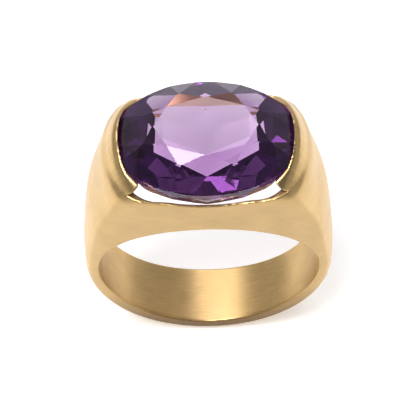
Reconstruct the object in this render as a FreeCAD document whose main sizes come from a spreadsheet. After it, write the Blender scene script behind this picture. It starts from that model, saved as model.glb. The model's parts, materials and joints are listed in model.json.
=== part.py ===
import FreeCAD, Part
import math
import os
import Sketcher
from FreeCAD import Placement, Rotation, Vector

# A satin gold cocktail ring that holds one large oval amethyst by its two ends.
# The finger hole's axis is Y, its centre is the origin, and the stone is at +Z.
# The stone's long axis is X, so the two half bezels are at -X and +X.

doc = FreeCAD.newDocument("cocktail_ring")

# ---------------------------------------------------------------- dimensions
# Millimetres and degrees. Half sizes are measured from the hole's centre.
DIMENSIONS = {
    # finger hole: US size 7
    "finger_radius": 8.65,
    # half the band's width at the hole's centre height, and how fast it widens with height
    "half_width": 3.515,
    "face_lean": 6.83,
    "face_bow_radius": 50.0,
    # the gold's top is an arc seen from the side: half bezels high, corners low;
    # the middle of each half bezel is dressed level
    "crest_radius": 5.9,
    "crest_height": 15.6,
    "bezel_top": 15.2,
    # window below the stone, open to the front and to the rear
    "window_floor": 12.95,
    "window_floor_radius": 45.0,
    "window_foot_half": 6.12,
    "window_tip_half": 4.95,
    "window_tip_height": 14.35,
    # well between the two bridges, open down to the finger hole
    "well_top": 13.5,
    "well_bottom": 6.0,
    "well_top_half_length": 6.2,
    "well_top_half_width": 4.7,
    "well_bottom_half_length": 6.1,
    "well_bottom_half_width": 3.5,
    "well_corner_radius": 2.4,
    # stone: a 14.2 x 10.3 mm oval
    "stone_half_length": 7.1,
    "stone_half_width": 5.17,
    "girdle_top": 14.6,
    "girdle_depth": 0.4,
    "crown_height": 1.78,
    "table_half_length": 4.05,
    "table_half_width": 2.62,
    "star_share": 0.25,
    # stone below the girdle: shares are of its half sizes, drops are from the girdle
    "pavilion_depth": 4.8,
    "belly_share": 0.93,
    "belly_drop": 1.2,
    "belt_steepness": 46.0,
    "rib_share": 0.6,
    "rib_drop": 2.7,
    "rib_steepness": 43.0,
    "main_share": 0.62,
    "main_drop": 2.78,
    # room for the stone: its floor, the foot of its wall, and how far the lips lean in
    "setting_gap": 0.04,
    "seat_floor": 12.15,
    "seat_floor_inset": 1.04,
    "seat_foot": 12.9,
    "seat_foot_inset": 0.28,
    "lip_inset": 1.05,
    "lip_top": 15.8,
    "bearing_bottom": 11.6,
    "bearing_wall": 0.1,
    "bearing_reach": 5.8,
    "bezel_bottom": 13.45,
    "bezel_half_length": 7.65,
    "bezel_half_width": 7.3,
    # where the pieces are soldered together
    "shank_top": 1.0,
    "bridge_half_length": 4.6,
}

# Distance of the band's outside from the hole's centre, at angles from the bottom:
# along the middle of the band, and along the edge where its side meets a face.
OUTLINE_ANGLES = (0, 35, 65, 90, 108, 122, 134, 145, 155, 167, 180)
MIDDLE_RADII = (10.25, 10.22, 9.98, 9.9, 10.3, 11.29, 12.67, 14.5, 16.7, 17.1, 17.3)
EDGE_RADII = (9.75, 9.75, 9.5, 9.35, 9.5, 10.25, 11.35, 12.7, 14.0, 15.5, 16.0)
# Sections of the domed outside, as shares of the band's half width
DOME_SECTIONS = (-1.25, -0.65, 0.0, 0.65, 1.25)
# Forms that reach past the ring on every side are this long
BEYOND = 24.0
# The girdle is ground to this many flats
GIRDLE_FLATS = 64

sheet = doc.addObject("Spreadsheet::Sheet", "Dimensions")
for row, (alias, value) in enumerate(DIMENSIONS.items(), start=1):
    sheet.set(f"A{row}", alias)
    sheet.set(f"B{row}", str(value))
    sheet.setAlias(f"B{row}", alias)
doc.recompute()


def size(alias):
    """A driving dimension, read back from the sheet."""
    return float(sheet.get(alias))


def bind(obj, **expressions):
    """Bind properties of an object to the sheet; names in braces are its aliases."""
    for prop, text in expressions.items():
        obj.setExpression(prop, text.replace("{", "Dimensions.").replace("}", ""))


def place(obj, x="0", y="0", z="0"):
    """Bind an object's position to the sheet."""
    for axis, text in (("x", x), ("y", y), ("z", z)):
        expression = text.replace("{", "Dimensions.").replace("}", "")
        obj.setExpression(f"Placement.Base.{axis}", expression)


def boolean(kind, name, base, tool):
    """A Part boolean (Common, Cut or Fuse) of two objects."""
    obj = doc.addObject("Part::" + kind, name)
    obj.Base, obj.Tool = base, tool
    return obj


def box(name, x_range, y_range, z_range):
    """A Part::Box between pairs of expressions."""
    obj = doc.addObject("Part::Box", name)
    (x0, x1), (y0, y1), (z0, z1) = x_range, y_range, z_range
    bind(obj, Length=f"({x1}) - ({x0})", Width=f"({y1}) - ({y0})", Height=f"({z1}) - ({z0})")
    place(obj, x0, y0, z0)
    return obj


def ellipse(name, half_x, half_y, height):
    """A horizontal ellipse; its long half may lie along X or along Y."""
    obj = doc.addObject("Part::Ellipse", name)
    bind(obj, MajorRadius=half_x, MinorRadius=half_y)
    place(obj, z=height)
    return obj


def loft(name, *sections):
    obj = doc.addObject("Part::Loft", name)
    obj.Sections = list(sections)
    obj.Solid = True
    obj.Ruled = True
    return obj


# ------------------------------------------------------- domed outer surface
def outline_row(share):
    """Points of the band's outline at a share of its half width, from the top round to the top.

    The outside falls off from the middle of the band to its edge as a parabola.
    The row lies in a plane that leans outwards with height, like the faces do.
    """
    lean = math.tan(math.radians(size("face_lean")))
    right = []
    for angle, middle, edge in zip(OUTLINE_ANGLES, MIDDLE_RADII, EDGE_RADII):
        radius = edge + (middle - edge) * (1 - share * share)
        x = radius * math.sin(math.radians(angle))
        z = -radius * math.cos(math.radians(angle))
        right.append(Vector(x, share * (size("half_width") + lean * z), z))
    left = [Vector(-p.x, p.y, p.z) for p in right]
    return left[:0:-1] + right


def domed_solid():
    """The domed surface through all rows, closed by a flat cap at each end."""
    surface = Part.BSplineSurface()
    surface.interpolate([outline_row(share) for share in DOME_SECTIONS])
    face = surface.toShape()
    ends = surface.bounds()[:2]
    caps = [Part.Face(Part.Wire(surface.uIso(end).toShape())) for end in ends]
    shell = Part.makeShell([face] + caps)
    shell.sewShape()
    return Part.makeSolid(shell)


dome = doc.addObject("Part::Feature", "domed_outside")
dome.Shape = domed_solid()


# --------------------------------------------------- front and rear of the band
def face_form(name, side):
    """A wide cylinder whose surface is the bowed, leaning front or rear face."""
    obj = doc.addObject("Part::Cylinder", name)
    lean = math.radians(size("face_lean"))
    radius, length = size("face_bow_radius"), 3 * BEYOND
    bind(obj, Radius="{face_bow_radius}")
    obj.Height = length
    middle = Vector(0, side * size("half_width"), 0)
    inward = Vector(0, -side * math.cos(lean), math.sin(lean))
    upward = Vector(0, side * math.sin(lean), math.cos(lean))
    base = middle + inward * radius - upward * (length / 2)
    obj.Placement = Placement(base, Rotation(Vector(0, 0, 1), upward))
    return obj


front_form = face_form("front_face_form", -1)
rear_form = face_form("rear_face_form", 1)

# The arched top that every piece of gold stays under, and the block below its centre
crest = doc.addObject("Part::Cylinder", "crest_arc")
bind(crest, Radius="{crest_radius}")
crest.Height = BEYOND
crest_start = Vector(-BEYOND / 2, 0, size("crest_height") - size("crest_radius"))
crest.Placement = Placement(crest_start, Rotation(Vector(0, 1, 0), 90))
crest_block = box("crest_block", (f"{-BEYOND / 2}", f"{BEYOND / 2}"),
                  ("-{crest_radius}", "{crest_radius}"),
                  (f"{-BEYOND / 2}", "{crest_height} - {crest_radius}"))
crest_form = boolean("Fuse", "crest_form", crest, crest_block)
level_block = box("level_block", (f"{-BEYOND / 2}", f"{BEYOND / 2}"),
                  (f"{-BEYOND / 2}", f"{BEYOND / 2}"), (f"{-BEYOND / 2}", "{bezel_top}"))

faces_form = boolean("Common", "faces_form", front_form, rear_form)
side_form = boolean("Common", "side_form", faces_form, crest_form)
domed_form = boolean("Common", "domed_form", side_form, dome)
blank = boolean("Common", "ring_blank", domed_form, level_block)

# ------------------------------------------------------------------- cutters
finger_hole = doc.addObject("Part::Cylinder", "finger_hole")
bind(finger_hole, Radius="{finger_radius}")
finger_hole.Height = BEYOND
finger_hole.Placement = Placement(Vector(0, BEYOND / 2, 0), Rotation(Vector(1, 0, 0), 90))


def rounded_rectangle(name, half_length, half_width, height):
    """A sketch of a horizontal rectangle with rounded corners, at a height."""
    half_x, half_y, corner = size(half_length), size(half_width), size("well_corner_radius")
    sketch = doc.addObject("Sketcher::SketchObject", name)
    left, right, low, high = -half_x + corner, half_x - corner, -half_y + corner, half_y - corner
    edges = [
        Part.LineSegment(Vector(left, -half_y, 0), Vector(right, -half_y, 0)),
        Part.ArcOfCircle(Part.Circle(Vector(right, low, 0), Vector(0, 0, 1), corner),
                         -math.pi / 2, 0),
        Part.LineSegment(Vector(half_x, low, 0), Vector(half_x, high, 0)),
        Part.ArcOfCircle(Part.Circle(Vector(right, high, 0), Vector(0, 0, 1), corner),
                         0, math.pi / 2),
        Part.LineSegment(Vector(right, half_y, 0), Vector(left, half_y, 0)),
        Part.ArcOfCircle(Part.Circle(Vector(left, high, 0), Vector(0, 0, 1), corner),
                         math.pi / 2, math.pi),
        Part.LineSegment(Vector(-half_x, high, 0), Vector(-half_x, low, 0)),
        Part.ArcOfCircle(Part.Circle(Vector(left, low, 0), Vector(0, 0, 1), corner),
                         math.pi, 3 * math.pi / 2),
    ]
    sketch.addGeometry(edges, False)
    count = len(edges)
    for index in range(count):
        following = (index + 1) % count
        sketch.addConstraint(Sketcher.Constraint("Coincident", index, 2, following, 1))
    sketch.Placement = Placement(Vector(0, 0, size(height)), Rotation())
    return sketch


well = loft("stone_well",
            rounded_rectangle("well_bottom_outline", "well_bottom_half_length",
                              "well_bottom_half_width", "well_bottom"),
            rounded_rectangle("well_top_outline", "well_top_half_length",
                              "well_top_half_width", "well_top"))


def window_cutter():
    """The dovetailed opening below and beside the stone, cut right through along Y.

    Its floor, which is the bridges' top edge, dips a little at the middle.
    Its sides lean in as they rise, and leave the tips of the half bezels.
    """
    body = doc.addObject("PartDesign::Body", "window_cutter")
    plane = next(f for f in body.Origin.OriginFeatures if f.Role == "XZ_Plane")
    sketch = body.newObject("Sketcher::SketchObject", "window_outline")
    sketch.AttachmentSupport = [(plane, "")]
    sketch.MapMode = "FlatFace"
    floor, radius = size("window_floor"), size("window_floor_radius")
    foot, tip = size("window_foot_half"), size("window_tip_half")
    rise = radius - math.sqrt(radius * radius - foot * foot)
    slope = (foot - tip) / (size("window_tip_height") - floor - rise)
    head = size("lip_top") + 1
    head_half = foot - slope * (head - floor - rise)
    right_foot, left_foot = Vector(foot, floor + rise, 0), Vector(-foot, floor + rise, 0)
    right_head, left_head = Vector(head_half, head, 0), Vector(-head_half, head, 0)
    sketch.addGeometry(Part.Arc(left_foot, Vector(0, floor, 0), right_foot), False)
    for start, end in ((right_foot, right_head), (right_head, left_head), (left_head, left_foot)):
        sketch.addGeometry(Part.LineSegment(start, end), False)
    pad = body.newObject("PartDesign::Pad", "window_pad")
    pad.Profile = sketch
    pad.Length = BEYOND
    pad.Midplane = True
    return body


window = window_cutter()

# Room for the stone: a sloping floor, a wall round its belly and its girdle, and
# two lips that lean in over its ends
girdle_x, girdle_y = "{stone_half_length} + {setting_gap}", "{stone_half_width} + {setting_gap}"
girdle_low = "{girdle_top} - {girdle_depth} - {setting_gap}"
room_sections = (
    ("seat_floor", "{seat_floor_inset}", "{seat_floor_inset}", "{seat_floor}"),
    ("seat_foot", "{seat_foot_inset}", "{seat_foot_inset}", "{seat_foot}"),
    ("girdle_low", "0", "0", girdle_low),
    ("girdle_high", "0", "0", "{girdle_top}"),
    ("lip_top", "{lip_inset}", "0", "{lip_top}"),
)
room_ovals = [ellipse(label + "_oval", f"{girdle_x} - {inset_x}", f"{girdle_y} - {inset_y}", height)
              for label, inset_x, inset_y, height in room_sections]
stone_room = [loft("room_above_" + low.Name, low, high)
              for low, high in zip(room_ovals, room_ovals[1:])]

gold = blank
for cutter in [finger_hole, well, window] + stone_room:
    gold = boolean("Cut", "gold_less_" + cutter.Name, gold, cutter)

# ------------------------------------------------------------------- division
# The gold is divided where a goldsmith solders it: shank, shoulders, bridges,
# half bezels and the bearings under the stone all share the same outer surfaces.
FAR = f"{BEYOND}"
JOINT = "{shank_top}"
BRIDGE = "{bridge_half_length}"
bearing_x, bearing_y = girdle_x + " + {bearing_wall}", girdle_y + " + {bearing_wall}"

pieces = []
shank_zone = box("shank_zone", (f"-{FAR}", FAR), (f"-{FAR}", FAR), (f"-{FAR}", JOINT))
pieces.append(boolean("Common", "shank", gold, shank_zone))

for label, y_range in (("front_bridge", (f"-{FAR}", "0")), ("rear_bridge", ("0", FAR))):
    zone = box(label + "_zone", (f"-{BRIDGE}", BRIDGE), y_range, (JOINT, FAR))
    pieces.append(boolean("Common", label, gold, zone))

left, across = ("-" + FAR, "-" + BRIDGE), ("-" + FAR, FAR)
left_half = boolean("Common", "left_half", gold, box("left_zone", left, across, (JOINT, FAR)))

# The bearing is the ledge that the girdle's end rests on
bearing_oval = loft("bearing_oval",
                    ellipse("bearing_low", bearing_x, bearing_y, "{bearing_bottom}"),
                    ellipse("bearing_high", bearing_x, bearing_y, girdle_low + " - {bearing_wall}"))
bearing_zone = box("bearing_zone", ("-" + FAR, "-{bearing_reach}"), across, (JOINT, FAR))
bearing_form = boolean("Common", "bearing_form", bearing_oval, bearing_zone)

# The half bezel is the collar round the stone's end, above the bearing
bezel_oval = loft("bezel_oval",
                  ellipse("bezel_low", "{bezel_half_length}", "{bezel_half_width}",
                          "{bezel_bottom}"),
                  ellipse("bezel_high", "{bezel_half_length}", "{bezel_half_width}", "{lip_top}"))
left_collar = boolean("Common", "left_collar", left_half, bezel_oval)
left_body = boolean("Cut", "left_body", left_half, bezel_oval)

for label, shape in (
    ("bearing", boolean("Common", "left_bearing", left_half, bearing_form)),
    ("half_bezel", boolean("Cut", "left_half_bezel", left_collar, bearing_form)),
    ("shoulder", boolean("Cut", "left_shoulder", left_body, bearing_form)),
):
    mirrored = doc.addObject("Part::Mirroring", "right_" + label)
    mirrored.Source = shape
    mirrored.Normal = Vector(1, 0, 0)
    pieces += [shape, mirrored]


# ---------------------------------------------------------------------- stone
def on_oval(angle, share, z):
    """A point at an angle round the stone, at a share of its half sizes."""
    return Vector(share * size("stone_half_length") * math.cos(angle),
                  share * size("stone_half_width") * math.sin(angle), z)


def on_table(angle, share, z):
    """A point at an angle, part of the way out from the table's oval to the girdle's."""
    half_x = size("table_half_length") * (1 - share) + size("stone_half_length") * share
    half_y = size("table_half_width") * (1 - share) + size("stone_half_width") * share
    return Vector(half_x * math.cos(angle), half_y * math.sin(angle), z)


def outward(angle):
    """The level direction square to the stone's outline at an angle."""
    return Vector(math.cos(angle) / size("stone_half_length"),
                  math.sin(angle) / size("stone_half_width"), 0).normalize()


def facet(start, angle, through):
    """A facet's plane, as its outward normal and a point on it.

    The facet is level along the outline at an angle, and passes through two points.
    """
    level = Vector(0, 0, 1).cross(outward(angle))
    normal = level.cross(through - start).normalize()
    middle = Vector(0, 0, size("girdle_top"))
    if normal.dot(start - middle) < 0:
        normal = -normal
    return normal, start


def sloping_facet(start, angle, steepness):
    """A facet's plane below the girdle, from its steepness in degrees."""
    steep = math.radians(steepness)
    return outward(angle) * math.sin(steep) - Vector(0, 0, math.cos(steep)), start


def stone_facets():
    """Every facet of the oval brilliant as a plane: table, crown, girdle, pavilion."""
    top = size("girdle_top")
    low = top - size("girdle_depth")
    table = top + size("crown_height")
    step = math.pi / 4
    widen = 1 / math.cos(step / 2)
    planes = [(Vector(0, 0, 1), Vector(0, 0, table))]

    # Crown: eight kites, a star between each pair, and two upper girdle facets by each star
    for k in range(8):
        main, between = k * step, (k + 0.5) * step
        planes.append(facet(on_oval(main, 1, top), main, on_table(main, 0, table)))
        share = size("star_share")
        tip = on_table(between, share, 0) * widen
        tip.z = table - share * size("crown_height")
        star_base = on_table(between, 0, 0) * (1 / widen)
        star_base.z = table
        planes.append(facet(star_base, between, tip))
        for angle in (between - step / 4, between + step / 4):
            planes.append(facet(on_oval(angle, 1, top), angle, tip))

    for k in range(GIRDLE_FLATS):
        angle = (k + 0.5) * 2 * math.pi / GIRDLE_FLATS
        planes.append((outward(angle), on_oval(angle, 1, low)))

    # Pavilion: a steep belly and a belt of sixteen, then eight ribs and eight mains
    belly, rib, main = size("belly_share"), size("rib_share"), size("main_share")
    belly_low, rib_low = low - size("belly_drop"), low - size("rib_drop")
    main_low, culet = low - size("main_drop"), Vector(0, 0, low - size("pavilion_depth"))
    for k in range(16):
        angle = (k + 0.5) * step / 2
        planes.append(facet(on_oval(angle, 1, low), angle, on_oval(angle, belly, belly_low)))
        planes.append(sloping_facet(on_oval(angle, belly, belly_low), angle, size("belt_steepness")))
    for k in range(8):
        angle, between = k * step, (k + 0.5) * step
        planes.append(facet(on_oval(angle, main, main_low), angle, culet))
        planes.append(sloping_facet(on_oval(between, rib, rib_low), between, size("rib_steepness")))
    return planes


def clip(polygons, normal, point):
    """Cut a convex solid, given as its polygons, with one plane and close the cut."""
    kept, rim = [], []
    for polygon in polygons:
        ring = []
        for start, end in zip(polygon, polygon[1:] + polygon[:1]):
            here, there = normal.dot(start - point), normal.dot(end - point)
            if here <= 1e-9:
                ring.append(start)
            if (here < -1e-9 and there > 1e-9) or (here > 1e-9 and there < -1e-9):
                crossing = start + (end - start) * (here / (here - there))
                ring.append(crossing)
                rim.append(crossing)
            elif abs(here) <= 1e-9:
                rim.append(start)
        if len(ring) > 2:
            kept.append(ring)
    unique = []
    for candidate in rim:
        if all((candidate - other).Length > 1e-6 for other in unique):
            unique.append(candidate)
    if len(unique) > 2 and len(kept) > 0:
        centre = sum(unique, Vector()) * (1 / len(unique))
        first = (unique[0] - centre).normalize()
        second = normal.cross(first)
        unique.sort(key=lambda p: math.atan2((p - centre).dot(second), (p - centre).dot(first)))
        kept.append(unique)
    return kept


def cut_stone():
    """Start from a block around the stone and grind one facet after another."""
    block = Part.makeBox(BEYOND, BEYOND, BEYOND, Vector(-BEYOND / 2, -BEYOND / 2, 0))
    polygons = [[v.Point for v in face.OuterWire.OrderedVertexes] for face in block.Faces]
    for normal, point in stone_facets():
        polygons = clip(polygons, normal, point)
    faces = []
    for polygon in polygons:
        ring = [p for i, p in enumerate(polygon) if (p - polygon[i - 1]).Length > 1e-6]
        faces.append(Part.Face(Part.makePolygon(ring + ring[:1])))
    shell = Part.makeShell(faces)
    shell.sewShape()
    return Part.makeSolid(shell)


amethyst = doc.addObject("Part::Feature", "amethyst")
amethyst.Shape = cut_stone()
pieces.append(amethyst)

# --------------------------------------------------------------------- output
doc.recompute()

for obj in doc.Objects:
    if "Invalid" in obj.State or "Error" in obj.State:
        raise RuntimeError(f"{obj.Name} failed: {obj.State}")

os.makedirs("parts", exist_ok=True)
for piece in pieces:
    piece.Label = piece.Name
    shape = piece.Shape
    if shape.isNull() or not shape.isValid():
        raise RuntimeError(f"{piece.Label} has no valid shape")
    if len(shape.Solids) != 1:
        raise RuntimeError(f"{piece.Label} has {len(shape.Solids)} solids")
    bounds = shape.BoundBox
    print(f"{piece.Label:20s} volume {shape.Volume:8.2f}  faces {len(shape.Faces):3d}"
          f"  x {bounds.XMin:6.2f} {bounds.XMax:6.2f}  y {bounds.YMin:6.2f} {bounds.YMax:6.2f}"
          f"  z {bounds.ZMin:6.2f} {bounds.ZMax:6.2f}")
    shape.exportStep(os.path.join("parts", piece.Label + ".step"))
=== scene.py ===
import json
import math

import bpy
import numpy as np
import openvdb
from mathutils import Matrix, Vector


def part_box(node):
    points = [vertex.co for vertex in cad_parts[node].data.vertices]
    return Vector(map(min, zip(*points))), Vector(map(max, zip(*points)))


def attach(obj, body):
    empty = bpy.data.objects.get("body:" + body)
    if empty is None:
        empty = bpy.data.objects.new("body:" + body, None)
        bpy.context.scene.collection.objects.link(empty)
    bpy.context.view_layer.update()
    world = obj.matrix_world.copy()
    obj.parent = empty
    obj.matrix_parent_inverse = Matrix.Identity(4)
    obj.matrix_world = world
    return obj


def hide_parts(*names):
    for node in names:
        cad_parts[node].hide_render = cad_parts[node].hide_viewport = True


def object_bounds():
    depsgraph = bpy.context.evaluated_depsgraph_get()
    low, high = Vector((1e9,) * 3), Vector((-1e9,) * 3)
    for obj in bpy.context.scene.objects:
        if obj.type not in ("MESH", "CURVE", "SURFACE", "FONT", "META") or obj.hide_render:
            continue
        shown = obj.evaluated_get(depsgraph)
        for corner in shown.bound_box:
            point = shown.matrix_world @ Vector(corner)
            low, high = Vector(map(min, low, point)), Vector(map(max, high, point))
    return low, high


# A satin gold cocktail ring that holds one oval amethyst by its two ends.
# The finger hole's axis is Y and its centre is the origin, with the stone at +Z.
# The gold is one smooth form, worked out as a field in millimetres, meshed, and then
# divided where the CAD pieces meet. The faceted stone is the CAD node itself.
# Shapes are in millimetres until new_piece makes them metres, as in the frame.

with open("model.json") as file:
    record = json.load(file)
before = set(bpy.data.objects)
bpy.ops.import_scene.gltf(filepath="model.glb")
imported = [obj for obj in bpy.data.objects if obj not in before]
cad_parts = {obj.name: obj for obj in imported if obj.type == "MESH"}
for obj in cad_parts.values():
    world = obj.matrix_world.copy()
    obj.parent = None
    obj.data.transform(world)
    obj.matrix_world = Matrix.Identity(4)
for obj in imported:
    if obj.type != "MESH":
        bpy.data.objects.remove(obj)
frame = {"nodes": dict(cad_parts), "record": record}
cad_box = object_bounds()
MM = 0.001


def corners(node):
    """A CAD node's lowest and highest corner, in millimetres."""
    low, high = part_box(node)
    return np.array(low) / MM, np.array(high) / MM


# ------------------------------------------------------------------ dimensions
# Millimetres. What the CAD nodes give is read from them.
SHANK_LOW, SHANK_HIGH = corners("shank")
FLOOR_HEIGHT = SHANK_LOW[2]
JOINT_HEIGHT = SHANK_HIGH[2]
BRIDGE_HALF = corners("front_bridge")[1][0]
FINGER_RADIUS = frame["record"]["mounts"][0]["dims"]["r_mm"]

# the band's outside, in degrees from its lowest point: along its middle and its edges
OUTLINE_ANGLES = (0, 35, 65, 90, 108, 122, 134, 145, 155, 167, 180)
MIDDLE_RADII = (10.25, 10.27, 9.98, 9.82, 10.2, 11.2, 12.6, 14.45, 16.7, 15.6, 15.2)
EDGE_RADII = (9.83, 9.87, 9.62, 9.35, 9.5, 10.25, 11.35, 12.7, 14.0, 14.6, 14.6)
# the dome leans, so its distance is this share of the radius that is left over
DOME_LEAN_SHARE = 0.93
HALF_WIDTH = 3.515
FACE_LEAN = math.radians(6.83)
FACE_BOW_RADIUS = 50.0
# the arch that the half bezels' lips follow, seen from the side
CREST_RADIUS = 6.4
CREST_HEIGHT = 15.6

# the windows in front and behind, and the well under the stone that joins them
WINDOW_FLOOR = 12.95
WINDOW_FLOOR_RADIUS = 45.0
WINDOW_FOOT_HALF = 6.12
WINDOW_TIP_HALF = 4.95
WINDOW_TIP_HEIGHT = 14.35
WELL_HEIGHTS = (6.0, 13.5)
WELL_HALF_LENGTHS = (6.1, 6.2)
WELL_HALF_WIDTHS = (3.5, 4.7)
WELL_CORNER = 2.4

# room for the stone: a sloping floor, a wall round its belly and girdle, then the lips
GIRDLE_HALF_LENGTH = 7.14
GIRDLE_HALF_WIDTH = 5.21
GIRDLE_BOTTOM = 14.16
ROOM_HEIGHTS = (12.15, 12.9, GIRDLE_BOTTOM, 14.6, 15.8)
ROOM_LENGTH_INSETS = (1.04, 0.28, 0.0, 0.0, 1.05)
ROOM_WIDTH_INSETS = (1.04, 0.28, 0.0, 0.0, 0.0)
BEARING_BOTTOM = 11.6
BEARING_WALL = 0.1
BEARING_REACH = 5.8
BEZEL_BOTTOM = 13.45
BEZEL_HALVES = (7.65, 7.3)

# how softly the file and the satin finish have rounded each kind of edge
RIDGE_HEIGHTS = (-9.0, 2.0, 9.0, 14.0)
RIDGE_SOFTNESS = (0.25, 0.8, 0.9, 0.55)
CREST_SOFTNESS = 0.4
HOLE_SOFTNESS = 0.2
WELL_SOFTNESS = 0.2
WINDOW_SOFTNESS = 0.1
LIP_SOFTNESS = 0.42
# the shallow valley outside each half bezel, which starts between these heights
VALLEY_DEPTH = 0.16
VALLEY_WIDTH = 0.4
VALLEY_START = (12.6, 13.6)

# how far the polish reaches from the edges round the stone
POLISH_REACH = 0.12

# the mesh: its cells, the empty cells round it, and how its points settle on the field
GRID_STEP = 0.1
GRID_MARGIN = 4
SLOPE_NUDGE = 0.004
SETTLE_PASSES = 3
SETTLE_LIMIT = 0.1
LEAST_STEEPNESS = 0.05
SHARP_ANGLE = math.radians(35)
# the cutters: how many sides an oval has, and a length well past the ring
OVAL_SIDES = 180
FAR = 30.0


# ------------------------------------------------------------------- the field
def smooth_max(a, b, softness):
    """The larger of two fields, with the edge where they meet rounded."""
    share = np.clip(0.5 + 0.5 * (a - b) / softness, 0, 1)
    return b + (a - b) * share + softness * share * (1 - share)


def smooth_step(low, high, value):
    """From 0 at the low value to 1 at the high one, level at both."""
    share = np.clip((value - low) / (high - low), 0, 1)
    return share * share * (3 - 2 * share)


def smooth_profile(degrees, radii):
    """A cubic spline through the radii, level at both ends, as a dense table to look up."""
    x, y = np.radians(degrees), np.array(radii)
    gaps, rises, count = np.diff(x), np.diff(y), len(x)
    system, right = np.eye(count), np.zeros(count)
    for i in range(1, count - 1):
        before, after = 1 / gaps[i - 1], 1 / gaps[i]
        system[i, i - 1:i + 2] = before, 2 * (before + after), after
        right[i] = 3 * (rises[i - 1] * before ** 2 + rises[i] * after ** 2)
    slopes = np.linalg.solve(system, right)
    angles = np.linspace(0, math.pi, 721)
    i = np.clip(np.searchsorted(x, angles) - 1, 0, count - 2)
    t, gap = (angles - x[i]) / gaps[i], gaps[i]
    bend_in = gap * slopes[i] - rises[i]
    bend_out = rises[i] - gap * slopes[i + 1]
    table = y[i] + t * rises[i] + t * (1 - t) * (bend_in * (1 - t) + bend_out * t)
    return angles, table


MIDDLE_PROFILE = smooth_profile(OUTLINE_ANGLES, MIDDLE_RADII)
EDGE_PROFILE = smooth_profile(OUTLINE_ANGLES, EDGE_RADII)


def oval_distance(x, y, half_x, half_y):
    """About how far a point lies outside a horizontal oval."""
    reach = np.sqrt((x / half_x) ** 2 + (y / half_y) ** 2) + 1e-9
    steep = np.sqrt((x / half_x ** 2) ** 2 + (y / half_y ** 2) ** 2) + 1e-9
    return reach * (reach - 1) / steep


def dome_field(x, y, z):
    """Distance outside the domed outer surface of the band."""
    radius = np.hypot(x, z)
    angle = np.arctan2(np.abs(x), -z)
    share = y / (HALF_WIDTH + math.tan(FACE_LEAN) * z)
    middle = np.interp(angle, *MIDDLE_PROFILE)
    edge = np.interp(angle, *EDGE_PROFILE)
    surface = edge + (middle - edge) * (1 - share ** 2)
    return (radius - surface) * DOME_LEAN_SHARE


def face_field(x, y, z):
    """Distance outside the bowed front and rear faces, which lean out with height."""
    out = np.abs(y) - HALF_WIDTH
    across = out * math.cos(FACE_LEAN) - z * math.sin(FACE_LEAN)
    return np.hypot(x, across + FACE_BOW_RADIUS) - FACE_BOW_RADIUS


def crest_field(y, z):
    """Distance outside the arch, seen from the side, that the half bezels follow."""
    above = np.maximum(z - (CREST_HEIGHT - CREST_RADIUS), 0)
    return np.hypot(y, above) - CREST_RADIUS


def well_field(x, y, z):
    """Distance outside the tapered well between the bridges, which has rounded corners."""
    half_x = np.interp(z, WELL_HEIGHTS, WELL_HALF_LENGTHS)
    half_y = np.interp(z, WELL_HEIGHTS, WELL_HALF_WIDTHS)
    dx, dy = np.abs(x) - half_x + WELL_CORNER, np.abs(y) - half_y + WELL_CORNER
    outside = np.hypot(np.maximum(dx, 0), np.maximum(dy, 0))
    walls = outside + np.minimum(np.maximum(dx, dy), 0) - WELL_CORNER
    return np.maximum(walls, np.maximum(WELL_HEIGHTS[0] - z, z - WELL_HEIGHTS[1]))


def rise_of_floor(x):
    """How far the window's dished floor has risen, at a distance from its middle."""
    reach = np.minimum(np.abs(x), WINDOW_FLOOR_RADIUS / 2)
    return WINDOW_FLOOR_RADIUS - np.sqrt(WINDOW_FLOOR_RADIUS ** 2 - reach ** 2)


def window_field(x, z):
    """Distance outside the dovetailed opening under and beside the stone."""
    sill = WINDOW_FLOOR + rise_of_floor(x)
    foot = WINDOW_FLOOR + rise_of_floor(WINDOW_FOOT_HALF)
    slant = (WINDOW_FOOT_HALF - WINDOW_TIP_HALF) / (WINDOW_TIP_HEIGHT - foot)
    side = np.abs(x) - WINDOW_FOOT_HALF + slant * (z - foot)
    return np.maximum(sill - z, side / math.hypot(1, slant))


def seat_field(x, y, z):
    """Distance outside the room for the stone."""
    half_x = GIRDLE_HALF_LENGTH - np.interp(z, ROOM_HEIGHTS, ROOM_LENGTH_INSETS)
    half_y = GIRDLE_HALF_WIDTH - np.interp(z, ROOM_HEIGHTS, ROOM_WIDTH_INSETS)
    return np.maximum(oval_distance(x, y, half_x, half_y), ROOM_HEIGHTS[0] - z)


def gold_field(points):
    """Negative inside the gold; its size is close to the distance from the surface."""
    x, y, z = points
    ridge = np.interp(z, RIDGE_HEIGHTS, RIDGE_SOFTNESS)
    field = smooth_max(dome_field(x, y, z), face_field(x, y, z), ridge)
    valley = oval_distance(x, y, *BEZEL_HALVES) / VALLEY_WIDTH
    depth = VALLEY_DEPTH * smooth_step(*VALLEY_START, z)
    field = field + depth * np.exp(-valley ** 2)
    field = smooth_max(field, crest_field(y, z), CREST_SOFTNESS)
    field = smooth_max(field, FINGER_RADIUS - np.hypot(x, z), HOLE_SOFTNESS)
    field = smooth_max(field, -well_field(x, y, z), WELL_SOFTNESS)
    field = smooth_max(field, -seat_field(x, y, z), LIP_SOFTNESS)
    return smooth_max(field, -window_field(x, z), WINDOW_SOFTNESS)


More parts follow.
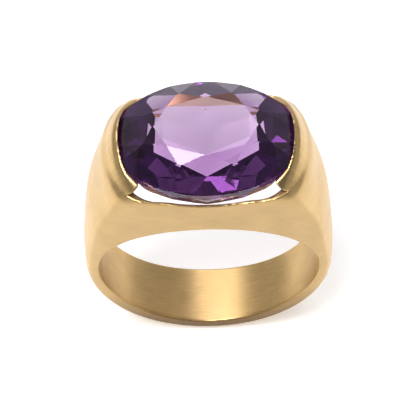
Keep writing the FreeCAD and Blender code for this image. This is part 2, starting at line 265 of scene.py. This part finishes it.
# -------------------------------------------------------------------- meshing
def gold_mesh():
    """The field's surface as an even mesh of small quads, in millimetres.

    The ring is the same front and rear and left and right, so a quarter is worked out.
    """
    low, high = np.array(cad_box[0]) / MM, np.array(cad_box[1]) / MM
    count_x, count_y = (int(math.ceil(half / GRID_STEP)) + GRID_MARGIN for half in high[:2])
    margin = GRID_MARGIN * GRID_STEP
    heights = np.arange(low[2] - margin, high[2] + margin, GRID_STEP)
    xs, ys = np.arange(count_x) * GRID_STEP, np.arange(count_y) * GRID_STEP
    quarter = gold_field(np.meshgrid(xs, ys, heights, indexing="ij"))
    half = np.concatenate((quarter[:0:-1], quarter), axis=0)
    whole = np.concatenate((half[:, :0:-1], half), axis=1)
    limit = 3 * GRID_STEP
    grid = openvdb.FloatGrid(background=limit)
    grid.copyFromArray(np.clip(whole, -limit, limit).astype(np.float32))
    verts, quads = grid.convertToQuads(isovalue=0.0)
    start = np.array((1 - count_x, 1 - count_y, 0)) * GRID_STEP + (0, 0, heights[0])
    return settle(verts * GRID_STEP + start), quads


def polish_of(points):
    """From 0 to 1, how much a point belongs to the polished edges around the stone."""
    x, y, z = points.T
    near = np.minimum(np.abs(window_field(x, z)), np.abs(seat_field(x, y, z)))
    near = np.minimum(near, np.abs(well_field(x, y, z)))
    return np.exp(-(near / POLISH_REACH) ** 2)


def slope(points):
    """The field's gradient, by central differences."""
    columns = []
    for step in np.eye(3) * SLOPE_NUDGE:
        rise = gold_field((points + step).T) - gold_field((points - step).T)
        columns.append(rise / (2 * SLOPE_NUDGE))
    return np.stack(columns, axis=1)


def settle(points):
    """Move the points of the mesh onto the field's surface."""
    for _ in range(SETTLE_PASSES):
        steep = slope(points)
        size = np.maximum((steep ** 2).sum(1, keepdims=True), LEAST_STEEPNESS)
        error = np.clip(gold_field(points.T)[:, None], -SETTLE_LIMIT, SETTLE_LIMIT)
        points = points - error * steep / size
    return points


def new_piece(name, verts, faces):
    """An object from millimetre points."""
    mesh = bpy.data.meshes.new(name)
    mesh.from_pydata([tuple(v) for v in np.asarray(verts) * MM], [], [tuple(f) for f in faces])
    piece = bpy.data.objects.new(name, mesh)
    bpy.context.scene.collection.objects.link(piece)
    return piece


def box_cutter(x_range, y_range, z_range):
    """A block between pairs of millimetre values."""
    verts = [(x, y, z) for x in x_range for y in y_range for z in z_range]
    faces = [(0, 1, 3, 2), (4, 6, 7, 5), (0, 4, 5, 1), (2, 3, 7, 6), (0, 2, 6, 4), (1, 5, 7, 3)]
    return new_piece("cutter", verts, faces)


def oval_cutter(half_x, half_y, z_range):
    """An upright oval column."""
    angles = np.arange(OVAL_SIDES) * 2 * math.pi / OVAL_SIDES
    ring = np.stack((half_x * np.cos(angles), half_y * np.sin(angles)), axis=1)
    verts = [(x, y, z) for z in z_range for x, y in ring]
    around = [(i, (i + 1) % OVAL_SIDES) for i in range(OVAL_SIDES)]
    faces = [(a, b, b + OVAL_SIDES, a + OVAL_SIDES) for a, b in around]
    faces += [tuple(range(OVAL_SIDES))[::-1], tuple(range(OVAL_SIDES, 2 * OVAL_SIDES))]
    return new_piece("cutter", verts, faces)


def cut(piece, operation, cutter):
    """Apply a boolean to a piece with a cutter."""
    modifier = piece.modifiers.new("cut", "BOOLEAN")
    modifier.operation = operation
    modifier.object = cutter
    modifier.solver = "MANIFOLD"
    evaluated = piece.evaluated_get(bpy.context.evaluated_depsgraph_get())
    mesh = bpy.data.meshes.new_from_object(evaluated)
    piece.modifiers.clear()
    old, piece.data = piece.data, mesh
    bpy.data.meshes.remove(old)
    return piece


def part_of(piece, name, operation, cutter):
    """A copy of a piece, cut."""
    copy = bpy.data.objects.new(name, piece.data.copy())
    bpy.context.scene.collection.objects.link(copy)
    return cut(copy, operation, cutter)


def is_polished(node):
    """The half bezels and the bearings are polished; the rest is satin."""
    return node.endswith(("_bezel", "_bearing"))


def side_range(sign, near):
    """From a distance to one side of the middle, out past the ring."""
    return tuple(sorted((sign * near, sign * FAR)))


# The band and the bridges are cut from the gold by blocks
master = new_piece("gold_master", *gold_mesh())
gold_pieces = {}
cutters = {
    "shank": box_cutter((-FAR, FAR), (-FAR, FAR), (-FAR, JOINT_HEIGHT)),
    "front_bridge": box_cutter((-BRIDGE_HALF, BRIDGE_HALF), (-FAR, 0), (JOINT_HEIGHT, FAR)),
    "rear_bridge": box_cutter((-BRIDGE_HALF, BRIDGE_HALF), (0, FAR), (JOINT_HEIGHT, FAR)),
}
for name, cutter in cutters.items():
    gold_pieces[name] = part_of(master, name + "_skin", "INTERSECT", cutter)

# Each side's gold is cut by an oval column for the half bezel, and a lower one for the bearing
bezel_column = oval_cutter(*BEZEL_HALVES, (BEZEL_BOTTOM, FAR))
scratch = [master, bezel_column, *cutters.values()]
for side, sign in (("left", -1), ("right", 1)):
    half_zone = box_cutter(side_range(sign, BRIDGE_HALF), (-FAR, FAR), (JOINT_HEIGHT, FAR))
    half = part_of(master, "half", "INTERSECT", half_zone)
    bearing_zone = box_cutter(side_range(sign, BEARING_REACH), (-FAR, FAR), (0, FAR))
    bearing_form = oval_cutter(GIRDLE_HALF_LENGTH + BEARING_WALL, GIRDLE_HALF_WIDTH + BEARING_WALL,
                               (BEARING_BOTTOM, GIRDLE_BOTTOM - BEARING_WALL))
    cut(bearing_form, "INTERSECT", bearing_zone)
    collar = part_of(half, "collar", "INTERSECT", bezel_column)
    body = part_of(half, "body", "DIFFERENCE", bezel_column)
    bearing, bezel, shoulder = side + "_bearing", side + "_half_bezel", side + "_shoulder"
    gold_pieces[bearing] = part_of(half, bearing + "_skin", "INTERSECT", bearing_form)
    gold_pieces[bezel] = part_of(collar, bezel + "_skin", "DIFFERENCE", bearing_form)
    gold_pieces[shoulder] = part_of(body, shoulder + "_skin", "DIFFERENCE", bearing_form)
    scratch += [half_zone, half, bearing_zone, bearing_form, collar, body]

for piece in scratch:
    mesh = piece.data
    bpy.data.objects.remove(piece)
    bpy.data.meshes.remove(mesh)

for node, piece in gold_pieces.items():
    points = np.empty(len(piece.data.vertices) * 3)
    piece.data.vertices.foreach_get("co", points)
    polish = piece.data.attributes.new("polish", "FLOAT", "POINT")
    polish.data.foreach_set("value", polish_of(points.reshape(-1, 3) / MM).astype(np.float32))
    piece.data.shade_smooth()
    piece.data.set_sharp_from_angle(angle=SHARP_ANGLE)
    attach(piece, "root")
    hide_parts(node)


# ------------------------------------------------------------------- materials
def node_material(name):
    """A new material, its node tree and its Principled shader."""
    material = bpy.data.materials.new(name)
    material.use_nodes = True
    tree = material.node_tree
    return material, tree, tree.nodes["Principled BSDF"]


class Graph:
    """Short ways to add and link shader nodes."""

    def __init__(self, tree):
        self.tree = tree

    def node(self, kind, **settings):
        made = self.tree.nodes.new("ShaderNode" + kind)
        for name, value in settings.items():
            setattr(made, name, value)
        return made

    def feed(self, socket, value):
        if isinstance(value, bpy.types.NodeSocket):
            self.tree.links.new(value, socket)
        else:
            socket.default_value = value

    def math(self, operation, *values):
        made = self.node("Math", operation=operation)
        for socket, value in zip(made.inputs, values):
            self.feed(socket, value)
        return made.outputs[0]

    def vector(self, x, y, z):
        made = self.node("CombineXYZ")
        for socket, value in zip(made.inputs, (x, y, z)):
            self.feed(socket, value)
        return made.outputs[0]

    def split(self, vector):
        made = self.node("SeparateXYZ")
        self.feed(made.inputs[0], vector)
        return made.outputs

    def mix(self, kind, share, first, second):
        """From the first value to the second; kind is FLOAT, VECTOR or RGBA."""
        made = self.node("Mix", data_type=kind)
        place = {"FLOAT": 0, "VECTOR": 1, "RGBA": 2}[kind]
        self.feed(made.inputs[0], share)
        self.feed(made.inputs[2 + 2 * place], first)
        self.feed(made.inputs[3 + 2 * place], second)
        return made.outputs[place]

    def remap(self, value, low, high, to_low, to_high, smooth=True):
        made = self.node("MapRange", interpolation_type="SMOOTHSTEP" if smooth else "LINEAR")
        for socket, given in zip(made.inputs, (value, low, high, to_low, to_high)):
            self.feed(socket, given)
        return made.outputs[0]

    def noise(self, vector, scale, detail=2.0, roughness=0.5):
        made = self.node("TexNoise")
        self.feed(made.inputs["Vector"], vector)
        made.inputs["Scale"].default_value = scale
        made.inputs["Detail"].default_value = detail
        made.inputs["Roughness"].default_value = roughness
        return made.outputs["Fac"]


# Lengths here are in metres, as shaders see the object
BAND_RADIUS = 0.0095
RIM_HEIGHTS = (-0.0095, -0.003)
# painted shade: how much of the dark gold is painted on the rims at the foot and on the faces
RIM_SHADE, FACE_SHADE = 0.85, 0.14
SCRATCH_DEPTH = 0.000015
STREAKS_PER_METRE = (600, 8000, 1000)

EDGE_ROUGHNESS = 0.33
DEEP_GOLD = (0.53, 0.355, 0.150, 1)
PALE_GOLD = (0.76, 0.525, 0.245, 1)
# the dark colour painted on the faces and rims as shade
SHADE_GOLD = (0.10, 0.05, 0.014, 1)
QUARTZ_IOR = 1.544
VIOLET_ABSORPTION = (0.40, 0.03, 0.50, 1)
VIOLET_GLOW = (0.42, 0.12, 0.62, 1)


def gold_material(name, roughest, finest, scratch_strength):
    """Brushed gold: fine lines, round the band and level on its faces."""
    material, tree, shader = node_material(name)
    graph = Graph(tree)
    place = graph.node("TexCoord").outputs["Object"]
    x, y, z = graph.split(place)
    normal = graph.node("NewGeometry").outputs["Normal"]
    facing = graph.math("ABSOLUTE", graph.split(normal)[1])
    on_face = graph.remap(facing, 0.6, 0.85, 0.0, 1.0)

    # along the brushed lines first, then across them, in metres
    arc = graph.math("MULTIPLY", graph.math("ARCTAN2", x, z), BAND_RADIUS)
    round_band = graph.vector(arc, y, 0.0)
    level_lines = graph.vector(x, z, 0.01)
    lines = graph.mix("VECTOR", on_face, round_band, level_lines)
    stretched = graph.node("VectorMath", operation="MULTIPLY")
    graph.feed(stretched.inputs[0], lines)
    graph.feed(stretched.inputs[1], STREAKS_PER_METRE)
    brushed = graph.noise(stretched.outputs[0], 1.0, 3.0, 0.65)
    mottle = graph.noise(place, 500.0, 3.0)

    polish = graph.node("Attribute", attribute_name="polish").outputs["Fac"]
    satin = graph.remap(brushed, 0.3, 0.7, finest, roughest, smooth=False)
    graph.feed(shader.inputs["Roughness"], graph.mix("FLOAT", polish, satin, EDGE_ROUGHNESS))

    streaks = graph.remap(brushed, 0.3, 0.7, 0.0, 0.65, smooth=False)
    uneven = graph.remap(mottle, 0.3, 0.7, 0.0, 0.35, smooth=False)
    tint = graph.mix("RGBA", graph.math("ADD", streaks, uneven), DEEP_GOLD, PALE_GOLD)

    # painted shade: the front and rear are painted a little darker than the dome, and the rims
    # darker towards the foot, standing in for dark reflections there
    painted_shade_share = graph.math("MULTIPLY", graph.remap(z, *RIM_HEIGHTS, RIM_SHADE, FACE_SHADE), on_face)
    shaded_tint = graph.mix("RGBA", painted_shade_share, tint, SHADE_GOLD)
    graph.feed(shader.inputs["Base Color"], shaded_tint)

    bump = graph.node("Bump")
    graph.feed(bump.inputs["Height"], brushed)
    graph.feed(bump.inputs["Distance"], SCRATCH_DEPTH)
    graph.feed(bump.inputs["Strength"], scratch_strength)
    graph.feed(shader.inputs["Normal"], bump.outputs[0])

    across = graph.mix("VECTOR", on_face, (0, 1, 0), (0, 0, 1))
    graph.feed(shader.inputs["Tangent"], across)
    shader.inputs["Anisotropic"].default_value = 0.5
    shader.inputs["Metallic"].default_value = 1.0
    return material


def amethyst_material():
    """Clear violet stone; a trace of uneven glow stands for the light scattered inside."""
    material, tree, shader = node_material("amethyst")
    graph = Graph(tree)
    place = graph.node("TexCoord").outputs["Object"]
    zones = graph.noise(place, 420.0, 4.0, 0.7)
    shader.inputs["Base Color"].default_value = (1, 1, 1, 1)
    shader.inputs["Transmission Weight"].default_value = 1.0
    shader.inputs["IOR"].default_value = QUARTZ_IOR
    shader.inputs["Emission Color"].default_value = VIOLET_GLOW
    graph.feed(shader.inputs["Emission Strength"], graph.remap(zones, 0.38, 0.62, 0.004, 0.03))
    smears = graph.noise(place, 2500.0, 2.0)
    graph.feed(shader.inputs["Roughness"], graph.remap(smears, 0.45, 0.75, 0.0, 0.03))
    absorption = graph.node("VolumeAbsorption")
    absorption.inputs["Color"].default_value = VIOLET_ABSORPTION
    absorption.inputs["Density"].default_value = 230.0
    graph.feed(tree.nodes["Material Output"].inputs["Volume"], absorption.outputs["Volume"])
    return material


satin_gold = gold_material("satin_gold", roughest=0.46, finest=0.30, scratch_strength=0.6)
polished_gold = gold_material("polished_gold", roughest=0.33, finest=0.29, scratch_strength=0.06)
for name, piece in gold_pieces.items():
    piece.data.materials.clear()
    piece.data.materials.append(polished_gold if is_polished(name) else satin_gold)
stone = frame["nodes"]["amethyst"]
stone.data.materials.clear()
stone.data.materials.append(amethyst_material())
stone.data.shade_flat()

# ----------------------------------------------------------------------- stage
FLOOR_HALF = 600.0
WHITE = (1, 1, 1, 1)
NEAR_PAINT = (0.95, 0.95, 0.95, 1)
# painted shade: the floor's colour far from the ring, darker as if the studio's light fell off;
# and a painted glow near the ring
FAR_PAINTED_SHADE = (0.42, 0.42, 0.42, 1)
FLOOR_GLOW = 0.38
PALE_REACH = (0.05, 0.15)


def floor_material():
    """Palest round the ring, where it glows as painted light, and painted shade darkens it towards
    the studio's corners.
    """
    material, tree, shader = node_material("pale_floor")
    graph = Graph(tree)
    reach = graph.node("VectorMath", operation="LENGTH")
    graph.feed(reach.inputs[0], graph.node("TexCoord").outputs["Object"])
    near = graph.remap(reach.outputs["Value"], *PALE_REACH, 1.0, 0.0)
    graph.feed(shader.inputs["Base Color"], graph.mix("RGBA", near, FAR_PAINTED_SHADE, NEAR_PAINT))
    shader.inputs["Roughness"].default_value = 0.9
    shader.inputs["Emission Color"].default_value = WHITE
    graph.feed(shader.inputs["Emission Strength"], graph.math("MULTIPLY", near, FLOOR_GLOW))
    return material


floor_corners = [(x, y, FLOOR_HEIGHT) for x, y in
                 ((-FLOOR_HALF, -FLOOR_HALF), (FLOOR_HALF, -FLOOR_HALF),
                  (FLOOR_HALF, FLOOR_HALF), (-FLOOR_HALF, FLOOR_HALF))]
floor = new_piece("floor", floor_corners, [(0, 1, 2, 3)])
floor.data.materials.append(floor_material())

scene = bpy.context.scene
scene.view_settings.view_transform = "Standard"
LIGHT_DISTANCE = 0.5
VIEW_ELEVATION = 58.0


def direction(azimuth, elevation):
    """A unit vector; azimuth 0 is the rear and 90 the right, in degrees."""
    a, e = math.radians(azimuth), math.radians(elevation)
    return Vector((math.sin(a) * math.cos(e), math.cos(a) * math.cos(e), math.sin(e)))


def softbox(name, azimuth, elevation, size, radiance):
    """A rectangular area light that faces the ring."""
    data = bpy.data.lights.new(name, "AREA")
    data.shape = "RECTANGLE"
    data.size, data.size_y = size
    data.energy = radiance * math.pi * size[0] * size[1]
    light = bpy.data.objects.new(name, data)
    scene.collection.objects.link(light)
    out = direction(azimuth, elevation)
    light.location = out * LIGHT_DISTANCE
    light.rotation_mode = "QUATERNION"
    light.rotation_quaternion = out.to_track_quat("Z", "Y")


softbox("overhead_light", azimuth=-141, elevation=70, size=(0.2, 0.2), radiance=13.0)
softbox("rear_light", azimuth=-14, elevation=52, size=(0.4, 0.2), radiance=3.0)

# from where to where the studio darkens, as cosines of the angle from the camera
DARKENING = (0.25, 0.85)
PALE_STUDIO = 0.5
DARK_STUDIO = 0.16


def studio_world():
    """Pale all round, and darker about the camera."""
    world = bpy.data.worlds.new("studio")
    world.use_nodes = True
    graph = Graph(world.node_tree)
    towards = graph.node("VectorMath", operation="DOT_PRODUCT")
    graph.feed(towards.inputs[0], graph.node("TexCoord").outputs["Generated"])
    graph.feed(towards.inputs[1], direction(180, VIEW_ELEVATION))
    background = world.node_tree.nodes["Background"]
    background.inputs["Color"].default_value = WHITE
    brightness = graph.remap(towards.outputs["Value"], *DARKENING, PALE_STUDIO, DARK_STUDIO)
    graph.feed(background.inputs["Strength"], brightness)
    return world


scene.world = studio_world()

# The camera looks down at the ring from the front, a little rolled. The frame's width
# and where the finger hole's centre lies from its middle are millimetres at the hole
VIEW_ROLL = math.radians(1.25)
VIEW_DISTANCE = 310.0
FRAME_WIDTH = 32.9375
HOLE_RIGHT = 0.024
HOLE_BELOW = 2.4434
SENSOR_WIDTH = 36.0


def aimed_camera():
    """A camera with its frame round the ring, nearly free of perspective."""
    forward = -direction(180, VIEW_ELEVATION)
    level = Vector((1, 0, 0))
    right = level * math.cos(VIEW_ROLL) - level.cross(forward) * math.sin(VIEW_ROLL)
    upward = right.cross(forward)
    eye = upward * HOLE_BELOW - right * HOLE_RIGHT - forward * VIEW_DISTANCE
    data = bpy.data.cameras.new("camera")
    data.sensor_width = SENSOR_WIDTH
    data.lens = SENSOR_WIDTH * VIEW_DISTANCE / FRAME_WIDTH
    data.clip_start = 0.01
    data.clip_end = 10.0
    camera = bpy.data.objects.new("camera", data)
    rotation = Matrix((right, upward, -forward)).transposed()
    camera.matrix_world = Matrix.Translation(eye * MM) @ rotation.to_4x4()
    scene.collection.objects.link(camera)
    return camera


scene.camera = aimed_camera()
